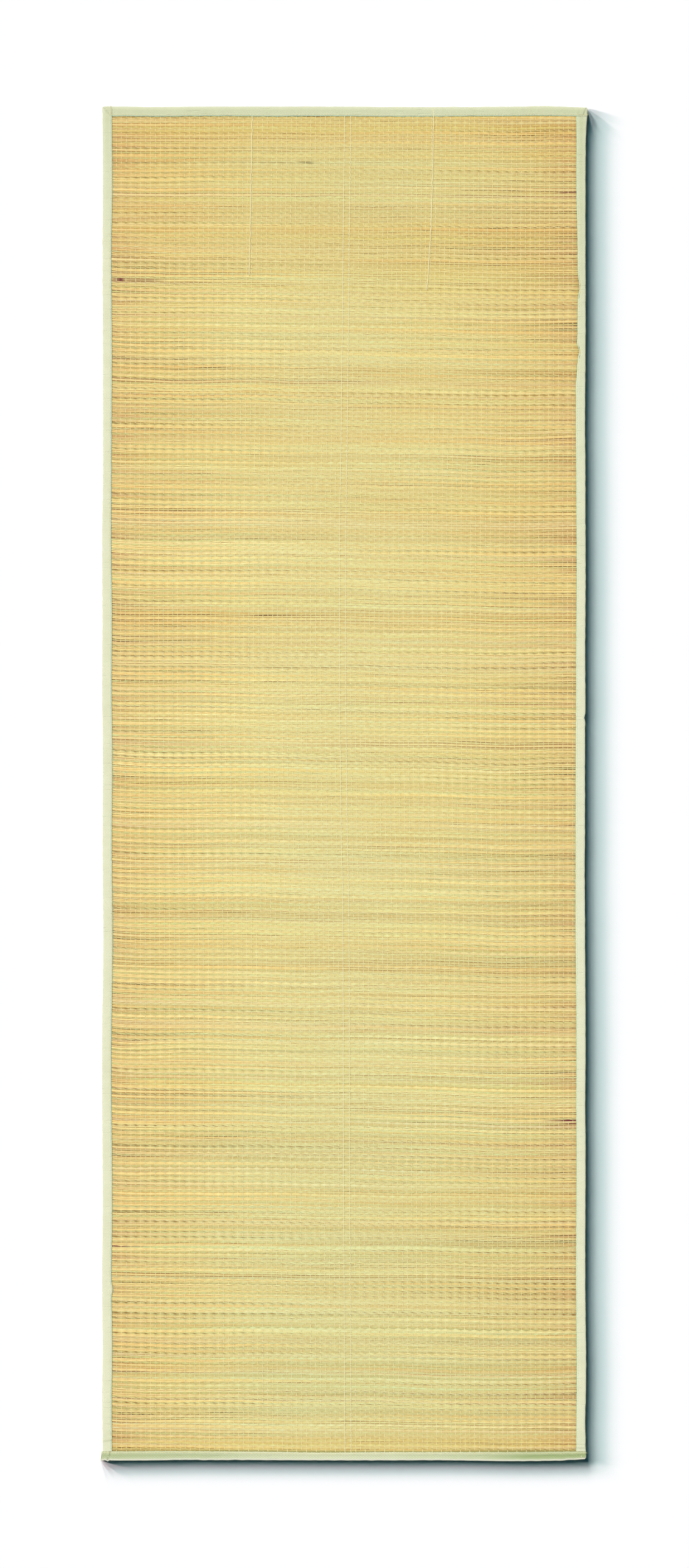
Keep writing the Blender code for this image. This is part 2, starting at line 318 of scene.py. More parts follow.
def strawTree():
    g, size = geometryGraph("strawWeft", {**weave, **strawSizes})
    steps = size.warps + 1

    def isBroad(pick):
        return chance(g, pick, size.seed + 11) < size.broadShare

    def keep(number):
        pick = g.math("FLOOR", number / 2)
        mine = abs(pick % size.parts - size.part) < 0.5
        return mine * (1 - isBroad(pick) * (number % 2))

    whole, along, across, up = tubes(g, size.picks * 2, "straw", keep, steps)
    across = -across
    straw = named(g, "straw")
    pick = g.math("FLOOR", straw / 2)
    broad = isBroad(pick)
    crossing = g.math("ROUND", along) - 1
    fromMiddle, half, place = crossingPlace(g, size, crossing)
    isEnd = abs(fromMiddle) > size.warps * 0.5
    row = (pick - (size.picks - 1) * 0.5) * size.pickPitch
    placeX = place + drifting(g, size, place, row)
    x = placeX + isEnd * (half * size.halfWidth - placeX)

    over = (pick + crossing + 2) % 2  # 1 where the warp runs over this pick
    lifted = 1 - over
    buttLeft = pick % 2
    fromLeft = x / (size.halfWidth * 2) + 0.5
    toTip = buttLeft * fromLeft + (1 - buttLeft) * (1 - fromLeft)

    taper = size.thickening * (chance(g, pick, size.seed + 1) * 1.1 + 0.45)
    reach = size.pickPitch * 0.5 * (1.1 + taper * (1 - toTip * 2))
    uneven = (chance(g, straw, size.seed + 6) - 0.5) * size.unevenness
    slack = size.slack * g.follow(row, slackShare)
    bow = slack * (chance(g, pick, size.seed + 2) * 0.8 + 0.2) * (toTip * 0.85 + 0.15) * lifted
    ridgeAt = reach * (size.ridge + uneven) + bow
    sideways = (straw % 2 * 2 - 1) * (1 - broad)
    isOuter = g.math("MAXIMUM", across * sideways, 0.0)
    isInner = g.math("MAXIMUM", across * sideways * -1, 0.0)

    wander = (g.noise(g.combine(x * 22, straw * 0.37, size.seed)) - 0.5) * size.wander
    fan = (g.noise(g.combine(half * 5, pick * 0.085, size.seed)) - 0.5) * size.fan
    centre = row - sagging(g, x, row) + wander + fan * g.ease(abs(x), 0.2, 0.31)
    offRidge = ridgeAt * (1 - isOuter - isInner) + reach * isOuter - size.overlap * isInner
    y = within(g, centre + sideways * offRidge + broad * across * reach, size.halfLength)
    tall = (chance(g, straw, size.seed + 3) * 0.4 + 0.8) * reach * size.roundness
    swing = size.lift * (lifted * 2 - 1) * (0.4 + 0.6 * up)
    z = size.middle + swing + (up - size.belowLine) * tall
    z = z + (chance(g, straw, size.seed + 4) - 0.5) * size.stagger
    z = pressed(g, size, x, centre, z)

    edge = isInner - isOuter - broad * abs(across)
    gapPart = g.math("MAXIMUM", ridgeAt - reach * size.parting, 0.0) / (ridgeAt + size.overlap)
    gapPart = g.math("MINIMUM", gapPart, 0.6)
    whole = store(g, whole, "edge", edge)
    whole = store(g, whole, "toTip", toTip)
    whole = store(g, whole, "held", over)
    whole = store(g, whole, "gapPart", gapPart * (1 - broad))
    ranks = size.picks / size.parts + 1
    rank = (g.math("FLOOR", pick / size.parts) + 0.5 + 0.4 * across) / ranks
    onMap = g.combine((fromLeft + straw % 2) * 0.5, rank, 0.0)
    whole = store(g, whole, "OFBake", onMap, "FLOAT2", "CORNER")
    return finishTubes(g, whole, g.combine(x, y, z), size.material)


marking = {
    "within": 0.004,  # a mark lies this near, along its straw, to a corner of the straw
    "penalty": 10,  # weight of the distance past that
    "fade": 0.02,  # the longest soft end of a mark
}


def markStraws(pieces, name, marks):  # stores on each mark's straw how strong the mark is
    found = []
    for piece in pieces:
        numbers = np.empty(len(piece.data.vertices), np.float32)
        piece.data.attributes["straw"].data.foreach_get("value", numbers)
        found.append((vertexSpots(piece.data), numbers, np.zeros_like(numbers)))
    for x, y, start, end, strength in marks:
        nearest = []
        for spots, numbers, strengths in found:
            past = np.maximum(abs(spots[:, 0] - x) - marking["within"], 0)
            away = abs(spots[:, 1] - y) + marking["penalty"] * past
            nearest.append((away.min(), numbers[away.argmin()]))
        closest = min(range(len(found)), key=lambda item: nearest[item][0])
        spots, numbers, strengths = found[closest]
        soft = min(marking["fade"], 0.3 * (end - start))
        fade = np.clip((spots[:, 0] - start) / soft, 0, 1) * np.clip((end - spots[:, 0]) / soft, 0, 1)
        strengths[:] = np.maximum(strengths, fade * strength * (numbers == nearest[closest][1]))
    for piece, (spots, numbers, strengths) in zip(pieces, found):
        piece.data.attributes.new(name, "FLOAT", "POINT").data.foreach_set("value", strengths)


# warp threads

threadSizes = {
    "threadWidth": 0.00088,
    "threadHeight": 0.00018,
    "threadLift": 0.00042,
    "first": 0,  # the warps to make, first to last
    "last": 95,
    "float": 0.0,  # 1 keeps the thread on top of every pick
    "sway": 0.0,  # sideways zigzag
    "jitter": 0.0009,  # sideways, uneven
    "sinking": 0.00012,  # how much lower the lowest loops lie than the highest
    "sideSinking": 0.00007,  # near the mat's sides
    "sideThinning": 0.1,  # the part of the width that is lost there
    "skipMiddle": 1,
    "seed": 21,
}


def threadTree():
    g, size = geometryGraph("warpThreads", {**weave, **threadSizes})
    steps = size.picks + 1

    def keep(number):
        middle = abs(number - (size.warps - 1) * 0.5) < 1
        wanted = (number > size.first - 0.5) * (number < size.last + 0.5)
        return wanted * (1 - middle * size.skipMiddle)

    whole, along, across, up = tubes(g, size.warps, "warp", keep, steps)
    warp = named(g, "warp")
    pick = g.math("ROUND", along) - 1
    _, _, place = crossingPlace(g, size, warp)
    row = (pick - (size.picks - 1) * 0.5) * size.pickPitch
    over = (pick + warp + 2) % 2
    high = g.math("MAXIMUM", over, size.float)
    jitter = (g.noise(g.combine(warp * 3.7, row * 60, size.seed)) - 0.5) * size.jitter
    x = place + drifting(g, size, place, row) + jitter + size.sway * (over - 0.5)
    y = within(g, row - sagging(g, x, row), size.halfLength)
    z = size.middle + size.threadLift * (high * 2 - 1)
    z = z + (up - size.belowLine) * size.threadHeight
    sideShare = g.ease(abs(x), 0.08, 0.26)
    own = chance(g, pick * size.warps + warp, size.seed)
    sunk = own * size.sinking + sideShare * size.sideSinking
    z = pressed(g, size, x, y, z + (size.sinking - sunk) * high)
    whole = store(g, whole, "edge", across)
    slot = (warp + 0.5 + 0.45 * across) / size.warps
    whole = store(g, whole, "OFBake", g.combine(along / steps, slot, 0.0), "FLOAT2", "CORNER")
    halfShare = 0.5 - size.sideThinning * sideShare
    moved = g.combine(x + across * size.threadWidth * halfShare, y, z)
    return finishTubes(g, whole, moved, size.material)


# materials

def newMaterial(name, roughness):
    material = bpy.data.materials.new(name)
    material.use_nodes = True
    inputs = material.node_tree.nodes["Principled BSDF"].inputs
    inputs["Roughness"].default_value = roughness
    return material, Graph(material.node_tree), inputs


def connect(graph, wire, socket):
    graph.tree.links.new(wire.socket, socket)


def attribute(graph, name):
    return graph.add("ShaderNodeAttribute", out="Fac", attribute_name=name)


def fleck(graph, number, seed):  # the same 0 to 1 for the same straw
    return graph.add("ShaderNodeTexWhiteNoise", {"W": number * 0.731 + seed}, noise_dimensions="1D")


strawLook = {
    "butt": (253, 223, 143),
    "middle": (231, 220, 150),
    "tip": (217, 212, 136),
    "golden": (255, 217, 128),
    "green": (211, 220, 138),
    "tan": (226, 192, 134),
    "rich": (219, 191, 96),  # the golden rows of the top end
    "fresh": (210, 214, 152),  # the greener rows of the bottom end
    "paintedRidgeHighlight": (255, 230, 153),  # a painted highlight along the ridge of a thick end
    # painted shade on a straw's sides, towards its foot
    "paintedFlankShade": (203, 172, 100),
    # painted shade in the seams between picks
    "paintedSeamShade": (160, 119, 54),
    "line": (152, 102, 40),  # painted shade between two straws that lie apart
    "dry": (212, 164, 108),  # the browned ends beside the tapes
    # painted shade in the open gaps between a pick's two straws
    "gap": (158, 110, 34),
    "shaded": (147, 146, 76),  # along the bottom tape
    # painted shade along the marked splits between straws
    "split": (138, 104, 48),
    "black": (112, 92, 40),
    "maroon": (116, 32, 32),
}
# how much each of these lightens and darkens
strawTones = {
    "fibre": 0.1,
    "length": 0.2,
    "grain": 0.24,
    "pick": 0.2,
    "group": 0.24,  # some three picks
    "region": 0.08,  # some thirty picks
}
# painted shade lines between two straws: x and y of a place on the straw, x from, x to, strength
paintedSplitShades = [
    (-0.259, -0.5378, -0.31, -0.21, 1), (-0.287, 0.6689, -0.31, -0.235, 0.9),
    (0.284, 0.0839, 0.23, 0.31, 0.9), (0.287, -0.4789, 0.23, 0.31, 0.9), (0.287, 0.7592, 0.19, 0.31, 0.8),
    (0.24, -0.5604, 0.03, 0.31, 0.7), (-0.255, -0.8131, -0.31, -0.06, 0.8),
    (-0.177, -0.5393, -0.24, -0.13, 0.7), (0.267, -0.1478, 0.18, 0.31, 0.7),
    (0.223, -0.1677, 0.15, 0.28, 0.7), (-0.287, -0.5539, -0.31, -0.08, 0.6),
    (-0.287, 0.1749, -0.31, -0.1, 0.6), (0.234, -0.547, 0.11, 0.31, 0.6), (0.287, 0.3003, -0.06, 0.31, 0.5),
    (-0.26, 0.7615, -0.31, -0.21, 0.6), (-0.27, 0.6096, -0.31, 0.08, 0.6), (0.08, 0.428, -0.03, 0.15, 0.7),
    (-0.287, 0.0893, -0.31, -0.23, 0.7),
]
# stained straws, in the same way
blackened = [
    (-0.049, 0.7798, -0.059, -0.039, 0.75), (-0.047, 0.778, -0.053, -0.034, 0.5),
    (-0.262, -0.537, -0.31, -0.225, 0.6),
]
reddened = [
    (-0.285, 0.6345, -0.2895, -0.276, 1), (-0.285, 0.6345, -0.2895, -0.222, 0.5),
    (-0.287, -0.5814, -0.31, -0.264, 1), (-0.287, -0.58, -0.31, -0.27, 1),
    (-0.287, -0.5814, -0.31, -0.24, 0.5), (0.287, -0.4239, 0.262, 0.31, 1), (0.287, -0.4254, 0.27, 0.31, 1),
    (0.287, -0.4239, 0.246, 0.31, 0.65), (0.287, 0.7416, 0.262, 0.31, 0.75),
]
# how golden and how green the rows are, from -Y to +Y
richAlong = [
    (-0.85, 0.55), (-0.822, 0.4), (-0.808, 0), (-0.1, 0), (0.1, 0.02), (0.35, 0.06), (0.5, 0.12),
    (0.63, 0.22), (0.7, 0.34), (0.755, 0.34), (0.765, 0.44), (0.785, 0.4), (0.793, 0.28), (0.81, 0.46),
    (0.85, 0.78),
]
freshAlong = [
    (-0.85, 0), (-0.81, 0.1), (-0.79, 0.5), (-0.75, 0.62), (-0.72, 0.36), (-0.62, 0.28), (-0.48, 0.34),
    (-0.35, 0.14), (-0.2, 0.06), (0, 0), (0.69, 0), (0.73, 0.34), (0.76, 0.34), (0.78, 0.34), (0.79, 0),
]


def strawMaterial():
    material, g, inputs = newMaterial("strawFinish", 0.5)
    x, y, _ = g.split(g.add("ShaderNodeTexCoord", out="Object"))
    straw, toTip, edge = (attribute(g, name) for name in ("straw", "toTip", "edge"))
    tones = strawTones

    def tinted(factor, name):  # the straw's colour so far, with a part of another one
        return g.blend(factor, base, colour(*strawLook[name]))

    fromCentre = abs(x) / 0.302
    sideShare = g.ease(fromCentre, 0.35, 0.95)
    first, second, third = (fleck(g, straw, seed) for seed in (0.11, 0.37, 0.71))
    pick = g.math("FLOOR", straw / 2)
    boundary = pick + straw % 2  # the same on both sides of the seam between two picks
    shared, sparse = fleck(g, pick, 0.23), fleck(g, boundary, 0.59)
    fading = 1.1 - 0.5 * g.ease(x, -0.05, 0.2)
    atButt = g.clamp(g.ease(toTip, 0.6, 0.0) * fading * (0.6 + 0.8 * shared))
    atTip = g.ease(toTip, 0.45, 1.0) * (1 - 0.28 * g.ease(x, 0.0, 0.25))
    base = colour(*strawLook["middle"])
    base = tinted(atButt, "butt")
    base = tinted(atTip, "tip")
    group = g.noise(g.combine(x * 1.3, pick * 0.31, 3.0), detail=2.0)
    region = g.noise(g.combine(x * 1.6, pick * 0.028, 9.0), detail=2.0)
    turn = (group - 0.5) * 1.6 + (region - 0.5) * 0.8 + (shared - 0.5) * 0.6
    golds = g.follow(y, richAlong) + 0.35 * g.ease(x, 0.15, 0.28) * g.ease(y, 0.76, 0.83)
    rich = g.clamp(turn + golds * 1.3)
    fresh = g.clamp(-turn - golds) + g.follow(y, freshAlong) * g.ease(x, -0.3, -0.05)
    fresh = fresh + 0.08 * g.ease(x, 0.1, 0.28) * g.ease(y, 0.4, 0.1)
    base = tinted(rich * 0.85, "rich")
    base = tinted(fresh * 0.8, "fresh")
    calm = 0.45 + 0.55 * sideShare
    golden = g.ease(first + (group - 0.5) * 0.5, 0.55, 1.0) * (0.25 + 0.75 * atButt)
    green = g.ease(second + (0.5 - group) * 0.6 - golds, 0.5, 1.0) * (0.3 + 0.45 * atTip) * calm
    tan = g.ease(third + (group - 0.5) * 0.5, 0.55, 1.0) * 0.75 * calm
    dry = g.ease(fromCentre, 0.78, 1.0) * g.ease(second + (group - 0.5) * 0.4, 0.5, 0.95) * 0.75
    for name, factor in {"golden": golden, "green": green, "tan": tan, "dry": dry}.items():
        base = tinted(factor, name)

    along = g.noise(g.combine(x * 7, straw * 0.53, 1.0))
    grain = g.noise(g.combine(x * 160, straw * 0.53, 5.0))
    fibre = g.noise(g.combine(x * 14, y * 2600, straw * 0.53), detail=2.0)
    own = (third - 0.5) * (0.08 + 0.05 * sideShare)
    own = own + (shared - 0.5) * tones["pick"] + (group - 0.5) * tones["group"]
    light = 1 + (fibre - 0.5) * tones["fibre"] + (along - 0.5) * tones["length"]
    light = light + (grain - 0.5) * tones["grain"] + own + (0.5 - region) * tones["region"]
    # painted shade: each straw darker towards its foot, more so near the sides. The last factor makes the
    # weave a little darker towards +X.
    foot = g.math("MAXIMUM", -edge, edge * 0.5)
    light = light * (1.065 - (0.12 + 0.14 * sideShare) * foot) * (1.01 - 0.03 * g.ease(x, -0.3, 0.3))
    light = light + 0.01 * g.ease(x, 0.12, 0.24) * g.ease(y, 0.3, 0.1)
    # painted shade where a warp runs over the straw and holds it down
    light = light * (1.05 + 0.02 * sideShare - (0.11 + 0.06 * sideShare) * attribute(g, "held"))
    base = tinted(foot * (0.12 + 0.22 * sideShare), "paintedFlankShade")
    base = g.blend(1.0, base, g.combine(light ** 0.5, light ** 1.35, light ** 2.4), "MULTIPLY")
    # painted highlight along the ridge of a thick straw end, strongest near the sides
    paintedRidgeHighlight = g.ease(abs(edge), 0.6, 0.1) * atButt * g.ease(first + group, 0.6, 1.2)
    paintedRidgeHighlight = paintedRidgeHighlight * g.math("MAXIMUM", sideShare, g.ease(third, 0.92, 0.95))
    base = tinted(paintedRidgeHighlight * 0.85, "paintedRidgeHighlight")

    # painted shade in the gaps where a pick's two straws bow apart
    gapPart = attribute(g, "gapPart")
    holeShade = g.ease(edge, 1.0 - gapPart * 1.6, 1.1 - gapPart) * g.clamp(gapPart * 5)
    # painted shade along the seams between picks, stronger near the sides
    seamWidth = 0.2 + 0.25 * sideShare * third
    seam = g.ease(-edge, 1 - seamWidth, 1.0)
    reach = g.noise(g.combine(x * 3.1, boundary, 7.0))
    parted = g.ease(sparse, 0.68, 0.84) * g.ease(reach, 0.4, 0.56) * (0.75 + 0.25 * sideShare)
    seam = seam * (0.18 + 0.47 * sideShare * (0.2 + 0.8 * sparse))
    dashed = g.ease(shared, 0.05, 0.65) * (0.72 + 0.2 * sideShare)
    outside = g.ease(-edge, 0.35, 0.8)
    tapeWaves = 0.001 * g.ease(x, -0.16, -0.02) - 0.001 * g.ease(x, 0.1, 0.2)
    # painted shade in seams, gaps, splits and beside the bottom tape; black and maroon are real stains
    darker = {
        "paintedSeamShade": seam,
        "line": outside * parted,
        "gap": holeShade * dashed,
        "split": outside * attribute(g, "split"),
        "shaded": g.ease(y + tapeWaves, -0.835, -0.8388) * 0.92,
        "black": attribute(g, "blackened"),
        "maroon": attribute(g, "reddened"),
    }
    for name, factor in darker.items():
        base = tinted(factor, name)
    connect(g, base, inputs["Base Color"])
    connect(g, 0.46 + 0.14 * fibre, inputs["Roughness"])
    return material


def threadMaterial(name, dull, pale):
    material, g, inputs = newMaterial(name, 0.8)
    place = g.add("ShaderNodeTexCoord", out="Object")
    wear = g.noise(place, 300.0)
    connect(g, g.blend(wear, dull, pale), inputs["Base Color"])
    return material


def tapeMaterial():
    material, g, inputs = newMaterial("tapeFinish", 0.85)
    place = g.add("ShaderNodeTexCoord", out="Object")
    x, y, _ = g.split(place)
    turns = 2 * math.pi / tape["ribPitch"]
    first, second = (g.math("SINE", attribute(g, name) * turns) for name in ("diagonal", "counter"))
    ribs = (first + 0.7 * second) / 1.7
    cloudy = g.noise(place, 45.0, 2.0)
    base = g.blend(cloudy, colour(230, 232, 195), colour(243, 245, 213))
    # dull green-grey tone along the tape, stronger in the hollow between seam and fold as painted shade
    base = g.blend(attribute(g, "drab"), base, colour(168, 186, 127))
    ribbed = 1 + ribs * attribute(g, "ribbed")
    base = g.blend(1.0, base, g.combine(ribbed, ribbed, ribbed), "MULTIPLY")
    # painted highlight on the outer lip of the fold
    base = g.blend(attribute(g, "lip"), base, colour(255, 253, 236))
    # painted shade: a pale blue-green line along the tape's inner edge beside the straws
    onStraw = (abs(x) < 0.2946) * (y > -0.8375) * (y < 0.8405)
    paintedEdgeShade = g.ease(attribute(g, "inward"), 0.91, 0.97) * onStraw
    base = g.blend(paintedEdgeShade * 0.9, base, colour(190, 234, 208))
    # painted shade in the folds; a fold with negative darkness paints a highlight
    base = g.blend(attribute(g, "crease"), base, colour(120, 128, 96))
    connect(g, base, inputs["Base Color"])
    across = g.noise(g.combine(x * 40, y * 330, 0.0))
    height = ribs * 0.4 + g.noise(place, 900.0) * 0.6 + g.ease(across, 0.62, 0.72) * -0.9
    sockets = {"Strength": 0.7, "Distance": 0.0004, "Height": height}
    bump = g.add("ShaderNodeBump", sockets, out="Normal")
    connect(g, bump, inputs["Normal"])
    return material


# tapes

tape = {
    "step": 0.003,
    "cornerStep": 0.0008,  # finer near both ends
    "cornerLength": 0.0168,
    "flatWidth": 0.0275,  # the tape unfolded
    "waver": 0.00013,  # of its edges
    "pucker": 0.00022,  # of its top, up and down
    "rounding": 0.0024,  # of the outer corner at a folded end
    "endRounding": 0.0016,  # of a folded end, from the side
    "ribPitch": 0.00196,  # of the twill, measured along the tape
    "crispAngle": 55,  # degrees; sharper edges are shaded sharp
    "middle": 0.0015,  # height of the middle between its two layers
    "seam": 0.0018,  # from the inner edge to the stitches
    "seamHeight": 0.00292,
    "mapRows": 8,  # the tape is cut into this many lengths on its map
}
# once round the folded cloth: share of the way to the inner edge, metres outward from there, height,
# and how much that place gives to puckers and folds
tapeSection = [
    (1, 0, 0.00215, 0.2), (1, 0.0005, 0.00248, 0.3), (1, 0.0013, 0.00278, 0.5), (1, 0.002, 0.00276, 0.3),
    (1, 0.0028, 0.00294, 0.8), (0.62, 0, 0.003, 1), (0.42, 0, 0.003, 1), (0, -0.0026, 0.00292, 0.9),
    (0, -0.0013, 0.00276, 0.5), (0, -0.0005, 0.0024, 0.2), (0, 0, 0.0016, 0), (0, -0.0001, 0.00095, 0),
    (0, -0.0006, 0.0003, 0), (0, -0.0016, 0.00002, 0), (1, 0, 0.00002, 0), (1, 0, 0.0004, 0),
    (0, -0.0017, 0.00042, 0), (0, -0.0005, 0.0015, 0), (0, -0.0017, 0.00236, 0.5), (1, 0, 0.00195, 0.2),
]


def lowered(share, shift, height, give):  # the bottom tape's top droops towards its outer edge
    droop = 0.00055 * give ** 2 * (share < 1)
    return share, shift, height - droop if height > 0.0025 and shift > -0.002 else height, give


# axis is 0 where the tape's width lies along X and 1 along Y; outward is its sign towards the mat's edge.
# closed: which ends are folded in. ribbed, lip: how much the twill and the painted highlight
# on the outer lip show. torn: how far the outer corner of the first end is torn out. shift: how far the
# outer
# and the inner edge lie outside the solid's. ends: how far the two ends lie from the solid's. drab:
# places along the tape and their dullness, made stronger in the hollow as painted shade. bumps: a place
# along the tape, its width, and how far the outer and the inner edge move outward. folds: from x, y to x,
# y, then depth, half width and darkness, painted as shade (a negative darkness paints a highlight).
commonSide = {
    "section": tapeSection,
    "closed": (False, True),
    "lip": 0.0,
    "torn": 0.0,
}
tapeSides = {
    "left": {
        **commonSide,
        "axis": 0,
        "outward": -1,
        "ribbed": 0.17,
        "shift": (0.0001, 0),
        "ends": (-0.001, 0),
        "drab": [
            (-0.85, 0.06), (-0.8, 0), (-0.66, 0), (0.66, 0.02), (0.76, 0.14), (0.8, 0.22), (0.85, 0.3),
        ],
        "bumps": [(-0.635, 0.006, 0, -0.0016)],
        "folds": [
            (-0.3028, 0.8494, -0.294, 0.8392, 0.00034, 0.0005, 0.34),
            (-0.2928, 0.85, -0.2922, 0.8375, 0.00035, 0.0004, 0.3),
            (-0.304, 0.8262, -0.2915, 0.8258, 0.0002, 0.0004, 0.25),
            (-0.303, -0.8268, -0.292, -0.8245, 0.0004, 0.001, 0.16),
            (-0.3035, -0.818, -0.2925, -0.815, 0.00036, 0.0012, 0.1),
        ],
    },
    "right": {
        **commonSide,
        "axis": 0,
        "outward": 1,
        "closed": (False, False),
        "ribbed": 0.19,
        "shift": (0.00062, 0.00065),
        "ends": (-0.001, -0.0005),
        "drab": [
            (-0.84, 0.13), (-0.8, 0.02), (-0.7, 0.03), (-0.5, 0), (0.2, 0.01), (0.45, 0.11), (0.6, 0.2),
            (0.83, 0.42),
        ],
        "bumps": [
            (0.624, 0.012, 0, 0.0022), (0.543, 0.0065, 0, 0.0022), (0.553, 0.005, 0, -0.0008),
            (0.083, 0.003, -0.0012, 0), (0.5, 0.01, 0, -0.0006), (0.845, 0.01, 0.0004, 0),
            (0.398, 0.035, 0.0004, 0.0002), (0.107, 0.03, 0.0005, 0.0001), (-0.111, 0.03, -0.0004, 0),
            (-0.401, 0.03, -0.0005, -0.0003), (-0.63, 0.08, 0.0004, 0.0002), (-0.84, 0.02, -0.0003, 0),
        ],
        "folds": [
            (0.2895, -0.8295, 0.304, -0.8295, 0.0003, 0.0004, 0.35),
            (0.2895, -0.834, 0.304, -0.8345, 0.0003, 0.0004, 0.4),
            (0.2941, 0.6391, 0.2961, 0.6254, 0.0004, 0.0003, 0.8),
            (0.2961, 0.6254, 0.2945, 0.6085, 0.0004, 0.0003, 0.8),
            (0.2948, 0.548, 0.2961, 0.543, 0.0004, 0.0003, 0.95),
            (0.2961, 0.543, 0.2949, 0.5335, 0.0004, 0.0003, 0.9),
        ],
    },
    "top": {
        **commonSide,
        "axis": 1,
        "outward": 1,
        "ribbed": 0.16,
        "shift": (-0.0003, -0.0005),
        "ends": (0, 0.0006),
        "drab": [(-0.29, 0.31), (0.2, 0.31), (0.3, 0.42)],
        "bumps": [
            (-0.085, 0.035, 0, -0.0005), (0.25, 0.03, 0.0003, 0.0005), (-0.265, 0.02, 0.0002, 0.0004),
        ],
        "folds": [
            (0.2999, 0.84, 0.3033, 0.8486, 0.0006, 0.0004, 0.8),
            (0.294, 0.8402, 0.2995, 0.8396, 0.00035, 0.0004, 0.3),
            (0.293, 0.8402, 0.2948, 0.846, 0.0002, 0.0004, 0.2),
        ],
    },
    "bottom": {
        **commonSide,
        "axis": 1,
        "outward": -1,
        "section": [lowered(*row) for row in tapeSection],
        "ribbed": 0.55,
        "lip": 1.0,
        "torn": 0.0014,
        "shift": (0.00062, 0.001),
        "ends": (0, 0.0006),
        "drab": [
            (-0.3, 0.78), (-0.17, 0.66), (-0.11, 0.38), (-0.05, 0.28), (0.057, 0.32), (0.114, 0.44),
            (0.171, 0.56), (0.229, 1.04),
        ],
        "bumps": [
            (-0.3062, 0.0022, 0.0014, 0), (-0.3005, 0.0016, -0.0004, 0), (-0.2975, 0.0018, 0.001, 0),
            (-0.2945, 0.0014, -0.0005, 0), (0.26, 0.05, -0.0005, 0), (-0.11, 0.11, 0.0003, 0),
            (0.115, 0.045, -0.0005, 0), (-0.03, 0.05, 0, 0.0008), (0.13, 0.08, 0, 0.0008),
        ],
        "folds": [
            (-0.2955, -0.8345, -0.2943, -0.8385, 0.00035, 0.0005, 0.65),
            (-0.2943, -0.8385, -0.2948, -0.843, 0.0004, 0.0005, 0.75),
            (-0.2948, -0.843, -0.2981, -0.8494, 0.00045, 0.0005, 0.8),
            (-0.303, -0.8352, -0.292, -0.835, 0.0003, 0.0005, 0.35),
            (0.2935, -0.8425, 0.2976, -0.8442, 0.0004, 0.0005, 0.45),
            (0.2976, -0.8442, 0.3032, -0.8466, 0.0003, 0.0005, 0.4),
            (0.2945, -0.8437, 0.2976, -0.8456, -0.0002, 0.0004, -0.3),
        ],
    },
}


def tapeLines(node, side):  # places along a CAD tape, and its outer and inner edge there
    spots = vertexSpots(nodes[node].data)
    along, across = np.round(spots[:, 1 - side["axis"]], 4), spots[:, side["axis"]] * side["outward"]
    places = np.unique(along)
    outer = np.array([across[along == place].max() for place in places])
    inner = np.array([across[along == place].min() for place in places])
    whole = outer - inner > 0.01  # leaves out the places where a corner is cut off
    return places[whole], outer[whole], inner[whole], places[0], places[-1]


def stationsAlong(start, end):
    edge, step, length = tape["cornerStep"], tape["step"], tape["cornerLength"]
    first = np.arange(start, start + length, edge)
    middle = np.linspace(start + length, end - length, round((end - start - 2 * length) / step))
    last = np.arange(end - length, end, edge)[1:]
    return np.concatenate([first, middle, last, [end]])


def rumple(places, seed, count, shortest, longest):  # a smooth irregular line of about +-1
    random = np.random.default_rng(seed)
    waves = 1 / random.uniform(1 / longest, 1 / shortest, count)
    turns = random.uniform(0, 2 * math.pi, count)
    total = sum(np.sin(2 * math.pi * places / wave + turn) for wave, turn in zip(waves, turns))
    return total / math.sqrt(count)


def inPlan(side, across, along):  # a place on a tape as x and y
    across = across * side["outward"]
    return (across, along) if side["axis"] == 0 else (along, across)


def edgeLines(side, seed, stations, places, outerLine, innerLine):  # a tape's outer and inner edge
    outer = np.interp(stations, places, outerLine) + side["shift"][0]
    inner = np.interp(stations, places, innerLine) + side["shift"][1]
    outer += tape["waver"] * rumple(stations, seed, 5, 0.012, 0.09)
    inner += tape["waver"] * rumple(stations, seed + 1, 5, 0.008, 0.07)
    for place, width, outerBump, innerBump in side["bumps"]:
        bump = np.exp(-((stations - place) / width) ** 2)
        outer += outerBump * bump
        inner += innerBump * bump
    return outer, inner


def pressFolds(side, across, along, high, give):  # into the top; gives back the painted shade of the folds
    shade = np.zeros_like(high)
    spots = np.stack(inPlan(side, across, along), 2)
    for x0, y0, x1, y1, depth, width, dark in side["folds"]:
        line = np.array([x1 - x0, y1 - y0])
        reach = np.clip(((spots - (x0, y0)) @ line) / (line @ line), 0, 1)
        away = np.linalg.norm(spots - (np.array([x0, y0]) + reach[..., None] * line), axis=2)
        groove = np.exp(-(away / width) ** 2) * (give > 0)
        high -= depth * groove
        shade = np.maximum(shade, dark * groove)
    return shade


def loft(name, spots, material):  # a closed skin through rings of points, with its two ends capped
    count, ring = spots.shape[:2]
    here = np.arange(ring)
    after = (here + 1) % ring
    base = (np.arange(count - 1) * ring)[:, None]
    quads = np.stack([base + here, base + after, base + ring + after, base + ring + here], 2)
    caps = [list(range(ring))[::-1], list(range((count - 1) * ring, count * ring))]
    mesh = bpy.data.meshes.new(name)
    mesh.from_pydata(spots.reshape(-1, 3).tolist(), [], quads.reshape(-1, 4).tolist() + caps)
    work = bmesh.new()
    work.from_mesh(mesh)
    bmesh.ops.recalc_face_normals(work, faces=work.faces)
    work.to_mesh(mesh)
    work.free()
    mesh.shade_smooth()
    mesh.materials.append(material)
    return mesh


